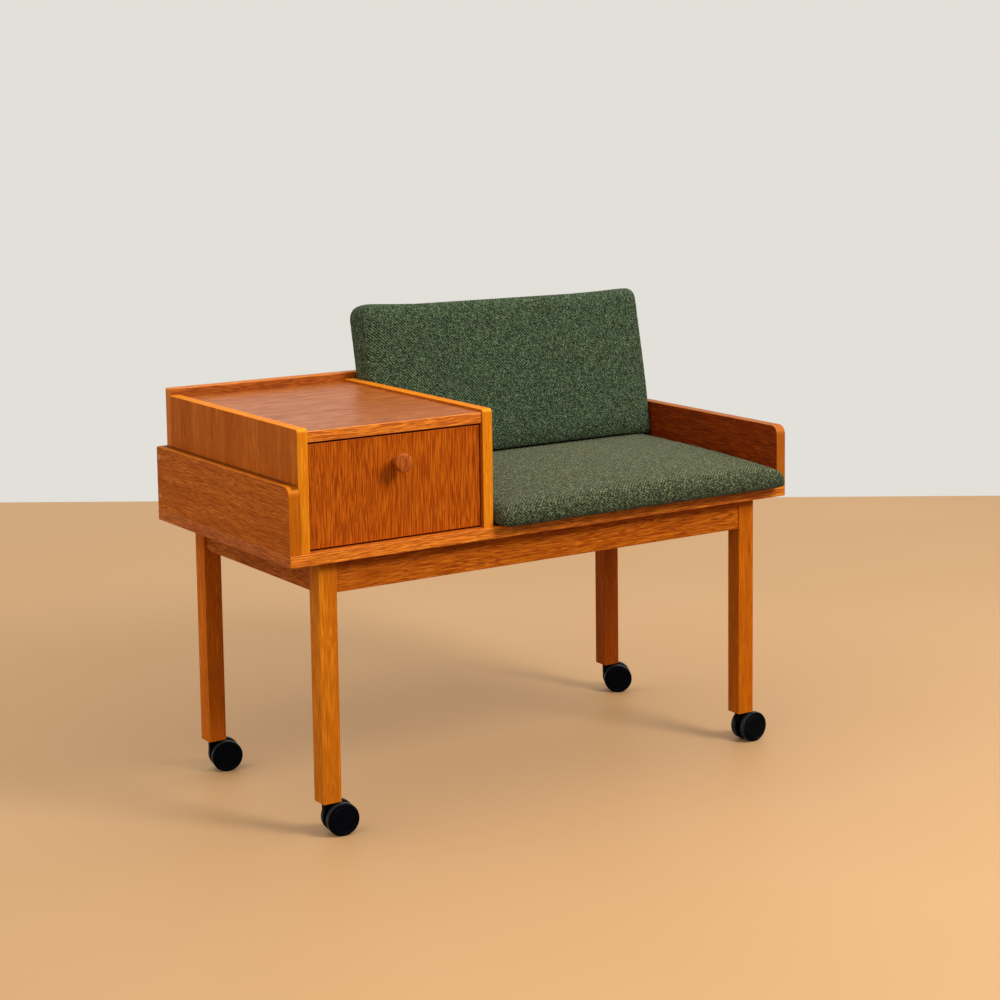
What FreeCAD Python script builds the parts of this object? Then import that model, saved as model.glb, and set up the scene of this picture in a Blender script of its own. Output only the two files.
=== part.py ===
"""Telephone bench on castors: a long low seat board on four square legs, with a
drawer box at its left end, two loose cushions at its right end, a back board and
two low end panels.

Millimetres, +Z up.  The bench stands on z = 0, +X runs along the board to the
right, the front looks along -Y.  The origin lies on the floor under the centre
of the bench's outer box.
"""
import FreeCAD, Part
import math
import os
import re

import Sketcher
from FreeCAD import Placement, Rotation, Vector

doc = FreeCAD.newDocument("TelephoneBench")
sheet = doc.addObject("Spreadsheet::Sheet", "Sizes")

# Driving dimensions: alias, value, what it is.
SIZES = (
    ("boardLength", 918, "seat board, left to right"),
    ("boardDepth", 451, "seat board, front to back"),
    ("boardThick", 18, "seat board"),
    ("boardEase", 1.2, "rounding of the board's edges"),
    ("legSide", 30, "square leg"),
    ("legLength", 364.2, "leg, foot to board"),
    ("legInsetEnd", 53.7, "leg's outer face from the board's end"),
    ("legInsetFront", 17.7, "leg's outer face from the board's long edge"),
    ("legEase", 1.5, "rounding of the leg's long edges"),
    ("apronHeight", 49.5, "aprons under the board"),
    ("apronThick", 18, "aprons"),
    ("apronSetBack", 2.5, "long aprons behind the legs' faces"),
    ("sideApronSetBack", 5.3, "short aprons behind the legs' faces"),
    ("apronEase", 1, "rounding of the aprons' lower edges"),
    ("tenonLength", 12, "apron tenon"),
    ("tenonThick", 9, "apron tenon"),
    ("tenonShoulder", 5, "shoulder above and below the tenon"),
    ("mortiseSpare", 1, "mortise deeper than the tenon"),
    ("blockReach", 38, "corner block along each apron, past the leg"),
    ("blockHeight", 25, "corner block"),
    ("blockClear", 0.4, "corner block clear of the leg"),
    ("lowPanelHeight", 100.5, "end panels above the board"),
    ("lowPanelThick", 18, "end panels"),
    ("lowPanelFrontRadius", 15, "front top corner of the end panels"),
    ("lowPanelRearRadius", 5, "rear top corner of the end panels"),
    ("panelEase", 1.5, "rounding of the panels' long edges"),
    ("backBoardHeight", 192, "back board above the seat board"),
    ("backBoardThick", 18.5, "back board"),
    ("backBoardEase", 2.5, "rounding of the back board's top edges"),
    ("screwHeadRadius", 4, "screws through the end panels"),
    ("screwHeadThick", 3, "sunk head"),
    ("screwShankRadius", 2, "shank"),
    ("screwLength", 42, "whole screw"),
    ("screwLow", 22.5, "lower screw above the board"),
    ("screwHigh", 83.5, "upper screw above the board"),
    ("boxWidth", 329, "drawer box over its sides"),
    ("boxSideThick", 17, "sides of the drawer box"),
    ("boxSideHeight", 181.5, "sides of the drawer box"),
    ("boxSetBack", 5, "box sides behind the board's front edge"),
    ("boxSideRadius", 6, "front top corner of the box sides"),
    ("boxTopThick", 16.7, "top of the drawer box"),
    ("boxTopDrop", 4.7, "box top below the box sides"),
    ("boxTopSetBack", 3.8, "box top behind the box sides' front edges"),
    ("drawerSetBack", 7.7, "drawer face behind the box sides' front edges"),
    ("drawerGap", 1.5, "drawer to each box side"),
    ("drawerFloorGap", 2.9, "drawer front above the board"),
    ("drawerTopGap", 2.9, "drawer front below the box top"),
    ("drawerFrontThick", 16, "drawer front"),
    ("drawerEase", 1, "rounding of the drawer front's edges"),
    ("drawerSideThick", 11, "drawer sides and back"),
    ("drawerSideHeight", 118, "drawer sides"),
    ("drawerSideRise", 8, "drawer sides above the front's lower edge"),
    ("drawerRearGap", 8.8, "closed drawer's rear end to the back board"),
    ("drawerBottomThick", 4, "drawer bottom"),
    ("drawerBottomRise", 9, "drawer bottom above the sides' lower edge"),
    ("drawerGroove", 5, "depth of the grooves that hold the bottom"),
    ("runnerHeight", 10, "runner strip on each box side"),
    ("runnerReach", 6.5, "runner strip out of the box side"),
    ("runnerRise", 54, "runner strip above the drawer sides' lower edge"),
    ("runnerShort", 10, "runner strip shorter than the drawer sides"),
    ("runnerClear", 0.3, "runner strip in its groove, all round"),
    ("knobHeadRadius", 14.3, "turned knob"),
    ("knobHeadThick", 10, "turned knob"),
    ("knobNeckRadius", 7.2, "turned knob"),
    ("knobReach", 28.7, "knob in front of the drawer's face"),
    ("knobDome", 1.6, "knob's domed face"),
    ("knobRound", 2.6, "rounding of the knob's head"),
    ("knobRise", 115.6, "knob's axis above the drawer front's lower edge"),
    ("knobScrewRadius", 2, "screw that holds the knob"),
    ("knobScrewHeadRadius", 4, "screw head inside the drawer"),
    ("knobScrewHeadThick", 2.4, "screw head inside the drawer"),
    ("knobScrewGrip", 16, "screw's length in the knob"),
    ("cushionClear", 0.3, "cushions clear of the wood and of each other"),
    ("seatOverhang", 27, "seat cushion in front of the board"),
    ("seatNose", 30, "seat cushion's height at its front, at the ends"),
    ("seatNoseCrown", 6, "more of it in the middle"),
    ("seatRear", 42, "seat cushion's height under the back cushion, at the ends"),
    ("seatRearCrown", 2.2, "more of it in the middle"),
    ("seatSag", 3, "rise of the top's curve, at the ends"),
    ("seatCrown", 7.5, "more of it in the middle"),
    ("seatNoseRadius", 23, "seat cushion's rounded front"),
    ("seatRoll", 15, "rounding of the seat cushion's ends"),
    ("seatLowerRound", 8, "rounding under the seat cushion's front"),
    ("seatRearRound", 6, "rounding of the seat cushion's rear top edge"),
    ("backLean", 11.42, "back cushion's lean in degrees"),
    ("backThick", 58.9, "back cushion"),
    ("backTop", 302.5, "back cushion's top above the board"),
    ("backBoxGap", 3.5, "back cushion clear of the drawer box"),
    ("backEndGap", 2.5, "back cushion clear of the right end panel"),
    ("backCrown", 4.5, "rise of the back cushion's front"),
    ("backRoll", 17, "rounding of the back cushion's ends"),
    ("backCorner", 24, "rounding of its top corners, seen from the front"),
    ("backEdge", 13, "rounding of its top edges"),
    ("backLowerRound", 8, "rounding of its lower edges"),
    ("wheelRadius", 25, "castor wheel"),
    ("wheelWidth", 12, "one wheel of a twin"),
    ("wheelRound", 2.6, "rounding of the tread's edges"),
    ("wheelSplit", 11, "between the two wheels"),
    ("wheelSideClear", 0.3, "wheel to castor body"),
    ("wheelGrooveRadius", 20, "groove between tread and disc"),
    ("wheelGrooveWidth", 1.2, "groove between tread and disc"),
    ("wheelGrooveDepth", 0.9, "groove between tread and disc"),
    ("wheelCap", 1.4, "closed outer wall over the axle's end"),
    ("castorTrail", 18, "axle behind the swivel axis"),
    ("castorHeadRadius", 11, "disc under the leg"),
    ("castorHeadThick", 1.7, "disc under the leg"),
    ("castorHeadClear", 0.3, "disc above the wheels"),
    ("castorSwivelClear", 0.3, "disc under the leg's foot"),
    ("castorCoreRadius", 19, "body round the axle"),
    ("axleRadius", 2.5, "axle"),
    ("axleEndClear", 0.4, "axle short of the wheel's cap"),
    ("runningClear", 0.05, "radial clearance on axle and stem"),
    ("stemRadius", 4, "stem in its sleeve"),
    ("stemLength", 34, "stem above the disc"),
    ("stemShankRadius", 3, "stem's lower end in the body"),
    ("stemShankLength", 15, "stem's lower end in the body"),
    ("sleeveWall", 1.5, "sleeve in the leg"),
    ("sleeveLength", 38, "sleeve in the leg"),
    ("castorAngleFrontLeft", -9, "way the trail points, degrees from +X"),
    ("castorAngleFrontRight", 2, "way the trail points, degrees from +X"),
    ("castorAngleRearLeft", -13, "way the trail points, degrees from +X"),
    ("castorAngleRearRight", -29, "way the trail points, degrees from +X"),
)
for row, (alias, value, note) in enumerate(SIZES, start=1):
    sheet.set("A%d" % row, note)
    sheet.set("B%d" % row, str(value))
    sheet.setAlias("B%d" % row, alias)
doc.recompute()

NAMES = {alias for alias, _, _ in SIZES}


def bound(text):
    """The expression with each size's name pointing into the sheet."""
    return re.sub(r"[A-Za-z_]\w*", lambda m: "Sizes." + m.group(0) if m.group(0) in NAMES
                  else m.group(0), text)


def value_of(text):
    """The expression's number."""
    result = sheet.evalExpression(bound(text))
    return float(getattr(result, "Value", result))


# Heights and lines that several pieces share.
FOOT = "(2 * wheelRadius + castorHeadClear + castorHeadThick + castorSwivelClear)"
BOARD_UNDER = "(%s + legLength)" % FOOT
BOARD_TOP = "(%s + boardThick)" % BOARD_UNDER
LEFT = "(-boardLength / 2)"
RIGHT = "(boardLength / 2)"
FRONT = "(-(boardDepth - seatOverhang) / 2)"
REAR = "((boardDepth + seatOverhang) / 2)"
BOX_LEFT = "(%s + lowPanelThick)" % LEFT
BOX_RIGHT = "(%s + boxWidth)" % BOX_LEFT
BOX_FRONT = "(%s + boxSetBack)" % FRONT
BOX_DEPTH = "(boardDepth - backBoardThick - boxSetBack)"
BACK_FACE = "(%s - backBoardThick)" % REAR
BOX_TOP_UNDER = "(boxSideHeight - boxTopDrop - boxTopThick)"
DRAWER_WIDTH = "(boxWidth - 2 * boxSideThick - 2 * drawerGap)"
DRAWER_FRONT_HEIGHT = "(%s - drawerFloorGap - drawerTopGap)" % BOX_TOP_UNDER
DRAWER_LEFT = "(%s + boxSideThick + drawerGap)" % BOX_LEFT
DRAWER_FACE = "(%s + drawerSetBack)" % BOX_FRONT
DRAWER_INNER = "(%s + drawerFrontThick)" % DRAWER_FACE
DRAWER_FOOT = "(%s + drawerFloorGap)" % BOARD_TOP
DRAWER_LENGTH = "(%s - drawerSetBack - drawerFrontThick - drawerRearGap)" % BOX_DEPTH
DRAWER_SIDE_FOOT = "(%s + drawerSideRise)" % DRAWER_FOOT
LEG_X = "(boardLength / 2 - legInsetEnd - legSide / 2)"
LEG_Y_FRONT = "(%s + legInsetFront + legSide / 2)" % FRONT
LEG_Y_REAR = "(%s - legInsetFront - legSide / 2)" % REAR
SLEEVE_RADIUS = "(stemRadius + runningClear + sleeveWall)"
KNOB_X = "(%s + %s / 2)" % (DRAWER_LEFT, DRAWER_WIDTH)
KNOB_Z = "(%s + knobRise)" % DRAWER_FOOT

pieces = []


def new_body(label):
    body = doc.addObject("PartDesign::Body", label)
    body.Label = label
    pieces.append(body)
    return body


def place(piece, x, y, z, turn=None):
    """Bind the piece's Placement; turn is an angle about +Z."""
    if turn is not None:
        piece.Placement = Placement(Vector(), Rotation(Vector(0, 0, 1), 30))
        piece.setExpression("Placement.Rotation.Angle", bound(turn) + " * 1 deg")
    for axis, text in zip("xyz", (x, y, z)):
        piece.setExpression("Placement.Base." + axis, bound(text))


def sketch_on(body, role, name, offset=None):
    """An empty sketch on one of the body's own origin planes."""
    sketch = body.newObject("Sketcher::SketchObject", name)
    plane = [f for f in body.Origin.OriginFeatures if f.Role == role][0]
    sketch.AttachmentSupport = (plane, [""])
    sketch.MapMode = "FlatFace"
    if offset is not None:
        sketch.setExpression("AttachmentOffset.Base.z", bound(offset))
    return sketch


def fix(sketch, kind, where, text):
    """A dimension of the sketch that follows the sheet."""
    index = sketch.addConstraint(Sketcher.Constraint(kind, *where, value_of(text)))
    sketch.setExpression("Constraints[%d]" % index, bound(text))


def polygon(sketch, points):
    """A closed outline; each point's coordinates are expressions."""
    flat = [Vector(value_of(u), value_of(v), 0) for u, v in points]
    count = len(flat)
    for i in range(count):
        sketch.addGeometry(Part.LineSegment(flat[i], flat[(i + 1) % count]), False)
    for i in range(count):
        sketch.addConstraint(Sketcher.Constraint("Coincident", i, 2, (i + 1) % count, 1))
    for i, (u, v) in enumerate(points):
        for kind, text in (("DistanceX", u), ("DistanceY", v)):
            if value_of(text) == 0:
                on_axis = -2 if kind == "DistanceX" else -1
                sketch.addConstraint(Sketcher.Constraint("PointOnObject", i, 1, on_axis))
            elif value_of(text) < 0:
                fix(sketch, kind, (i, 1, -1, 1), "-(%s)" % text)
            else:
                fix(sketch, kind, (-1, 1, i, 1), text)


def circle(sketch, u, v, radius):
    centre = Vector(value_of(u), value_of(v), 0)
    index = sketch.addGeometry(Part.Circle(centre, Vector(0, 0, 1), value_of(radius)), False)
    fix(sketch, "Radius", (index,), radius)
    for kind, text in (("DistanceX", u), ("DistanceY", v)):
        if value_of(text) == 0:
            on_axis = -2 if kind == "DistanceX" else -1
            sketch.addConstraint(Sketcher.Constraint("PointOnObject", index, 3, on_axis))
        elif value_of(text) < 0:
            fix(sketch, kind, (index, 3, -1, 1), "-(%s)" % text)
        else:
            fix(sketch, kind, (-1, 1, index, 3), text)


def pad(body, sketch, length, middle=False, backwards=False):
    feature = body.newObject("PartDesign::Pad", sketch.Name + "Pad")
    feature.Profile = sketch
    feature.setExpression("Length", bound(length))
    feature.Midplane = middle
    feature.Reversed = backwards
    doc.recompute()
    return feature


def pocket(body, sketch, depth, backwards=False, middle=False):
    """Cuts the sketch into the body and makes sure that something came away."""
    before = body.Shape.Volume
    feature = body.newObject("PartDesign::Pocket", sketch.Name + "Pocket")
    feature.Profile = sketch
    feature.setExpression("Length", bound(depth))
    feature.Reversed = backwards
    feature.Midplane = middle
    doc.recompute()
    if not body.Shape.Volume < before - 1e-3:
        raise ValueError("%s cuts nothing" % feature.Name)
    return feature


def revolve(body, sketch):
    """A full turn about the sketch's vertical axis."""
    feature = body.newObject("PartDesign::Revolution", sketch.Name + "Turn")
    feature.Profile = sketch
    feature.ReferenceAxis = (sketch, ["V_Axis"])
    feature.Angle = 360
    doc.recompute()
    return feature


def soften(body, radius, picked, limit=None):
    """Fillets the edges for which picked(middle, direction) holds."""
    base = body.Tip
    names = []
    for number, edge in enumerate(base.Shape.Edges, start=1):
        if edge.Degenerated:
            continue
        first, last = edge.Vertexes[0].Point, edge.Vertexes[-1].Point
        way = (last - first)
        if way.Length < 1e-6:
            continue
        middle = (first + last) * 0.5
        if picked(middle, way.normalize()):
            names.append("Edge%d" % number)
    feature = body.newObject("PartDesign::Fillet", body.Name + "Fillet%d" % len(body.Group))
    feature.Base = (base, names)
    feature.setExpression("Radius", bound(radius if limit is None
                                          else "min(%s; %s)" % (radius, limit)))
    doc.recompute()
    return feature


def soften_rim(body, kind, centre, size):
    """Fillets or chamfers the round edges about that centre."""
    base = body.Tip
    names = ["Edge%d" % number for number, edge in enumerate(base.Shape.Edges, start=1)
             if not edge.Degenerated and isinstance(edge.Curve, Part.Circle)
             and (edge.Curve.Center - centre).Length < 0.01]
    feature = body.newObject(kind, body.Name + "Rim%d" % len(body.Group))
    feature.Base = (base, names)
    feature.setExpression("Size" if kind.endswith("Chamfer") else "Radius", bound(size))
    doc.recompute()


def panel(label, size, corner, ease=None):
    """A plain rectangular board: size and lower corner, as expressions."""
    body = new_body(label)
    sketch = sketch_on(body, "XY_Plane", label + "Outline")
    wide, deep, tall = size
    polygon(sketch, (("0", "0"), (wide, "0"), (wide, deep), ("0", deep)))
    pad(body, sketch, tall)
    if ease:
        soften(body, ease, lambda middle, way: True)
    place(body, *corner)
    return body


def rounded_outline(points, radii, bulges):
    """Lines and arcs round the polygon.  bulges[i] is the rise of the side that leaves
    corner i, outwards."""
    count = len(points)
    corners = []
    for i, corner in enumerate(points):
        if not radii[i]:
            corners.append((corner, None, corner))
            continue
        before = (points[i - 1] - corner).normalize()
        after = (points[(i + 1) % count] - corner).normalize()
        opening = before.getAngle(after)
        reach = radii[i] / math.tan(opening / 2)
        inward = (before + after).normalize()
        centre = corner + inward * (radii[i] / math.sin(opening / 2))
        corners.append((corner + before * reach, centre - inward * radii[i],
                        corner + after * reach))
    edges = []
    for i in range(count):
        start, middle, end = corners[i]
        if middle is not None:
            edges.append(Part.Arc(start, middle, end))
        following = corners[(i + 1) % count][0]
        if bulges[i]:
            way = following - end
            out = Vector(way.y, -way.x, 0).normalize()
            edges.append(Part.Arc(end, (end + following) * 0.5 + out * bulges[i], following))
        else:
            edges.append(Part.LineSegment(end, following))
    return edges


def add_outline(sketch, edges):
    """A closed chain of lines and arcs into the sketch."""
    sketch.addGeometry(edges, False)
    for i in range(len(edges)):
        sketch.addConstraint(Sketcher.Constraint("Coincident", i, 2, (i + 1) % len(edges), 1))


def near(a, b):
    return abs(a - b) < 0.01


# Seat board
panel("seat_board", ("boardLength", "boardDepth", "boardThick"),
      (LEFT, FRONT, BOARD_UNDER), "boardEase")


# End panels: outline in the plane across the bench, rounded top corners, bores for the
# two screws into the back board.
for label, edge_x, head_side in (("low_panel_left", LEFT, -1),
                                 ("low_panel_right", "(%s - lowPanelThick)" % RIGHT, 1)):
    body = new_body(label)
    outline = sketch_on(body, "YZ_Plane", label + "Outline")
    polygon(outline, (("0", "0"), ("boardDepth", "0"), ("boardDepth", "lowPanelHeight"),
                      ("0", "lowPanelHeight")))
    pad(body, outline, "lowPanelThick")
    top = value_of("lowPanelHeight")
    depth = value_of("boardDepth")
    soften(body, "lowPanelFrontRadius",
           lambda m, w: abs(w.x) > 0.9 and near(m.z, top) and near(m.y, 0))
    soften(body, "lowPanelRearRadius",
           lambda m, w: abs(w.x) > 0.9 and near(m.z, top) and near(m.y, depth))
    soften(body, "panelEase", lambda m, w: abs(w.x) < 0.9 and m.z > 1)
    hole_y = "boardDepth - backBoardThick / 2"
    for name, height in (("Low", "screwLow"), ("High", "screwHigh")):
        bore = sketch_on(body, "YZ_Plane", label + "Bore" + name)
        circle(bore, hole_y, height, "screwShankRadius")
        pocket(body, bore, "lowPanelThick", backwards=True)
        if head_side < 0:
            sink = sketch_on(body, "YZ_Plane", label + "Sink" + name)
        else:
            sink = sketch_on(body, "YZ_Plane", label + "Sink" + name,
                             "lowPanelThick - screwHeadThick")
        circle(sink, hole_y, height, "screwHeadRadius")
        pocket(body, sink, "screwHeadThick", backwards=True)
    place(body, edge_x, FRONT, BOARD_TOP)


# Back board between the end panels
back = panel("back_board", ("boardLength - 2 * lowPanelThick", "backBoardThick",
                            "backBoardHeight"),
             ("%s + lowPanelThick" % LEFT, BACK_FACE, BOARD_TOP))
top = value_of("backBoardHeight")
soften(back, "backBoardEase", lambda m, w: near(m.z, top) or abs(w.z) > 0.9)
grip = "(screwLength - lowPanelThick)"
for name, height in (("Low", "screwLow"), ("High", "screwHigh")):
    for side in ("Left", "Right"):
        start = "0" if side == "Left" else "boardLength - 2 * lowPanelThick - " + grip
        bore = sketch_on(back, "YZ_Plane", "backBore%s%s" % (side, name), start)
        circle(bore, "backBoardThick / 2", height, "screwShankRadius")
        pocket(back, bore, grip, backwards=True)

# Screws through the end panels: a shank and a head sunk flush, with a driving slot
for side, edge_x, turn in (("left", LEFT, "0"), ("right", RIGHT, "180")):
    for name, height in (("low", "screwLow"), ("high", "screwHigh")):
        body = new_body("panel_screw_%s_%s" % (side, name))
        head = sketch_on(body, "YZ_Plane", body.Label + "Head")
        circle(head, "0", "0", "screwHeadRadius")
        pad(body, head, "screwHeadThick")
        shank = sketch_on(body, "YZ_Plane", body.Label + "Shank", "screwHeadThick")
        circle(shank, "0", "0", "screwShankRadius")
        pad(body, shank, "screwLength - screwHeadThick")
        slot = sketch_on(body, "YZ_Plane", body.Label + "Slot")
        wide, tall = "screwHeadRadius * 0.8", "screwHeadThick / 7"
        polygon(slot, (("-" + wide, "-" + tall), (wide, "-" + tall), (wide, tall),
                       ("-" + wide, tall)))
        pocket(body, slot, "screwHeadThick / 3", backwards=True)
        place(body, edge_x, "%s - backBoardThick / 2" % REAR,
              "%s + %s" % (BOARD_TOP, height), turn)


# Drawer box
for label, edge_x in (("box_side_left", BOX_LEFT),
                      ("box_side_right", "(%s - boxSideThick)" % BOX_RIGHT)):
    body = new_body(label)
    outline = sketch_on(body, "YZ_Plane", label + "Outline")
    polygon(outline, (("0", "0"), (BOX_DEPTH, "0"), (BOX_DEPTH, "boxSideHeight"),
                      ("0", "boxSideHeight")))
    pad(body, outline, "boxSideThick")
    top = value_of("boxSideHeight")
    soften(body, "boxSideRadius",
           lambda m, w: abs(w.x) > 0.9 and near(m.z, top) and near(m.y, 0))
    rear = value_of(BOX_DEPTH)
    soften(body, "panelEase",
           lambda m, w: abs(w.x) < 0.9 and m.z > 1 and m.y < rear - 1)
    place(body, edge_x, BOX_FRONT, BOARD_TOP)

box_top = panel("box_top", ("boxWidth - 2 * boxSideThick", "%s - boxTopSetBack" % BOX_DEPTH,
                            "boxTopThick"),
                ("%s + boxSideThick" % BOX_LEFT, "%s + boxTopSetBack" % BOX_FRONT,
                 "%s + %s" % (BOARD_TOP, BOX_TOP_UNDER)))
soften(box_top, "panelEase", lambda m, w: abs(w.x) > 0.9 and near(m.y, 0))


# Drawer: a veneered front, grooved sides that run on strips, a back and a bottom
drawer_front = panel("drawer_front", (DRAWER_WIDTH, "drawerFrontThick", DRAWER_FRONT_HEIGHT),
                     (DRAWER_LEFT, DRAWER_FACE, DRAWER_FOOT))
soften(drawer_front, "drawerEase", lambda m, w: near(m.y, 0))
hole = sketch_on(drawer_front, "XZ_Plane", "knobBore")
circle(hole, DRAWER_WIDTH + " / 2", "knobRise", "knobScrewRadius")
pocket(drawer_front, hole, "drawerFrontThick")

BOTTOM_GROOVE = ("drawerBottomRise", "drawerBottomRise + drawerBottomThick")
RUNNER_GROOVE = ("runnerRise - runnerClear", "runnerRise + runnerHeight + runnerClear")
GROOVE_DEPTH = "runnerReach - drawerGap + runnerClear"
for side, edge_x in (("left", DRAWER_LEFT),
                     ("right", "%s + %s - drawerSideThick" % (DRAWER_LEFT, DRAWER_WIDTH))):
    body = new_body("drawer_side_" + side)
    outer, inner = ("0", "drawerSideThick")
    section = sketch_on(body, "XZ_Plane", body.Label + "Section")
    thick, tall = "drawerSideThick", "drawerSideHeight"
    low, high = BOTTOM_GROOVE
    under, over = RUNNER_GROOVE
    if side == "left":
        polygon(section, (("0", "0"), (thick, "0"), (thick, low),
                          (thick + " - drawerGroove", low), (thick + " - drawerGroove", high),
                          (thick, high), (thick, tall), ("0", tall), ("0", over),
                          (GROOVE_DEPTH, over), (GROOVE_DEPTH, under), ("0", under)))
    else:
        bed = "%s - (%s)" % (thick, GROOVE_DEPTH)
        polygon(section, (("0", "0"), (thick, "0"), (thick, under), (bed, under),
                          (bed, over), (thick, over), (thick, tall), ("0", tall),
                          ("0", high), ("drawerGroove", high), ("drawerGroove", low),
                          ("0", low)))
    pad(body, section, DRAWER_LENGTH, backwards=True)
    place(body, edge_x, DRAWER_INNER, DRAWER_SIDE_FOOT)

INSIDE_WIDTH = "(%s - 2 * drawerSideThick)" % DRAWER_WIDTH
panel("drawer_back", (INSIDE_WIDTH, "drawerSideThick",
                      "drawerSideHeight - drawerBottomRise - drawerBottomThick"),
      ("%s + drawerSideThick" % DRAWER_LEFT,
       "%s + %s - drawerSideThick" % (DRAWER_INNER, DRAWER_LENGTH),
       "%s + drawerBottomRise + drawerBottomThick" % DRAWER_SIDE_FOOT))
panel("drawer_bottom", (INSIDE_WIDTH + " + 2 * drawerGroove", DRAWER_LENGTH,
                        "drawerBottomThick"),
      ("%s + drawerSideThick - drawerGroove" % DRAWER_LEFT, DRAWER_INNER,
       "%s + drawerBottomRise" % DRAWER_SIDE_FOOT))

for side, edge_x in (("left", "%s + boxSideThick" % BOX_LEFT),
                     ("right", "%s - boxSideThick - runnerReach" % BOX_RIGHT)):
    panel("drawer_runner_" + side,
          ("runnerReach", DRAWER_LENGTH + " - runnerShort", "runnerHeight"),
          (edge_x, "%s + 2 * runnerClear" % DRAWER_INNER,
           "%s + runnerRise" % DRAWER_SIDE_FOOT))

# Knob: a neck and a domed head, turned about the sketch's vertical axis
knob = new_body("drawer_knob")
profile = sketch_on(knob, "XY_Plane", "knobProfile")
bore, neck = value_of("knobScrewRadius"), value_of("knobNeckRadius")
head, tip = value_of("knobHeadRadius"), value_of("knobReach")
head_back = tip - value_of("knobHeadThick")
screw_end = value_of("knobScrewGrip")
rounding = value_of("knobRound")
dome = value_of("knobDome")
flat = bore
dome_radius = ((head - flat) ** 2 + dome * dome) / (2 * dome)


def on_dome(u):
    """The point of the domed face that far from the axis; its middle is flat."""
    return Vector(u, dome_radius - math.sqrt(dome_radius ** 2 - (u - flat) ** 2) - tip, 0)


shoulder = on_dome(head - rounding)
side_top = Vector(head, shoulder.y + rounding, 0)
bevel = rounding * (1 - math.sqrt(0.5))
body_line = rounded_outline(
    [Vector(u, v, 0) for u, v in ((head, side_top.y), (head, -head_back), (neck, -head_back),
                                  (neck, 0), (bore, 0), (bore, -screw_end),
                                  (0, -screw_end), (0, -tip), (flat, -tip))],
    (0, rounding, 0, 0, 0, 0, 0, 0, 0), (0,) * 9)[:-1]
face = Part.Arc(on_dome(flat), on_dome((head - rounding + flat) / 2), shoulder)
turn_over = Part.Arc(shoulder, Vector(head - bevel, shoulder.y + bevel, 0), side_top)
add_outline(profile, body_line + [face, turn_over])
revolve(knob, profile)
place(knob, KNOB_X, DRAWER_FACE, KNOB_Z)

screw = new_body("knob_screw")
shank = sketch_on(screw, "XZ_Plane", "knobScrewShank")
circle(shank, "0", "0", "knobScrewRadius")
pad(screw, shank, "knobScrewGrip + drawerFrontThick")
head = sketch_on(screw, "XZ_Plane", "knobScrewHead")
circle(head, "0", "0", "knobScrewHeadRadius")
pad(screw, head, "knobScrewHeadThick", backwards=True)
soften_rim(screw, "PartDesign::Fillet", Vector(0, value_of("knobScrewHeadThick"), 0),
           "knobScrewHeadThick / 2")
place(screw, KNOB_X, DRAWER_INNER, KNOB_Z)


# Legs: square, with a mortise for each apron and a bore for the castor's sleeve.  Each is
# drawn for the front left corner and mirrored by the signs of its corner.
CORNERS = (("front_left", -1, -1), ("front_right", 1, -1),
           ("rear_left", -1, 1), ("rear_right", 1, 1))
TENON_FOOT = "legLength - apronHeight + tenonShoulder"
TENON_HEIGHT = "apronHeight - 2 * tenonShoulder"
MORTISE = "(tenonLength + mortiseSpare)"


def signed(sign, text):
    return text if sign > 0 else "-(%s)" % text


def leg_y(sign):
    return LEG_Y_FRONT if sign < 0 else LEG_Y_REAR


def band(sign, low, high):
    """The two ends of a strip between low and high, on the side that sign says."""
    ends = (signed(sign, low), signed(sign, high))
    return ends if sign > 0 else (ends[1], ends[0])


for corner, sx, sy in CORNERS:
    body = new_body("leg_" + corner)
    square = sketch_on(body, "XY_Plane", body.Label + "Square")
    half = "legSide / 2"
    polygon(square, (("-" + half, "-" + half), (half, "-" + half), (half, half),
                     ("-" + half, half)))
    pad(body, square, "legLength")
    soften(body, "legEase", lambda m, w: abs(w.z) > 0.9)
    # the long apron enters the face that looks along the bench
    offset = "(legSide / 2 - apronSetBack - apronThick / 2)"
    y0, y1 = band(sy, offset + " - tenonThick / 2", offset + " + tenonThick / 2")
    x0, x1 = band(-sx, "legSide / 2 - " + MORTISE, "legSide / 2")
    cut = sketch_on(body, "XY_Plane", body.Label + "MortiseLong", TENON_FOOT)
    polygon(cut, ((x0, y0), (x1, y0), (x1, y1), (x0, y1)))
    pocket(body, cut, TENON_HEIGHT, backwards=True)
    # the short apron enters the face that looks across it
    offset = "(legSide / 2 - sideApronSetBack - apronThick / 2)"
    x0, x1 = band(sx, offset + " - tenonThick / 2", offset + " + tenonThick / 2")
    y0, y1 = band(-sy, "legSide / 2 - " + MORTISE, "legSide / 2")
    cut = sketch_on(body, "XY_Plane", body.Label + "MortiseShort", TENON_FOOT)
    polygon(cut, ((x0, y0), (x1, y0), (x1, y1), (x0, y1)))
    pocket(body, cut, TENON_HEIGHT, backwards=True)
    bore = sketch_on(body, "XY_Plane", body.Label + "Bore")
    circle(bore, "0", "0", SLEEVE_RADIUS)
    pocket(body, bore, "sleeveLength", backwards=True)
    place(body, signed(sx, LEG_X), leg_y(sy), FOOT)


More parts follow.
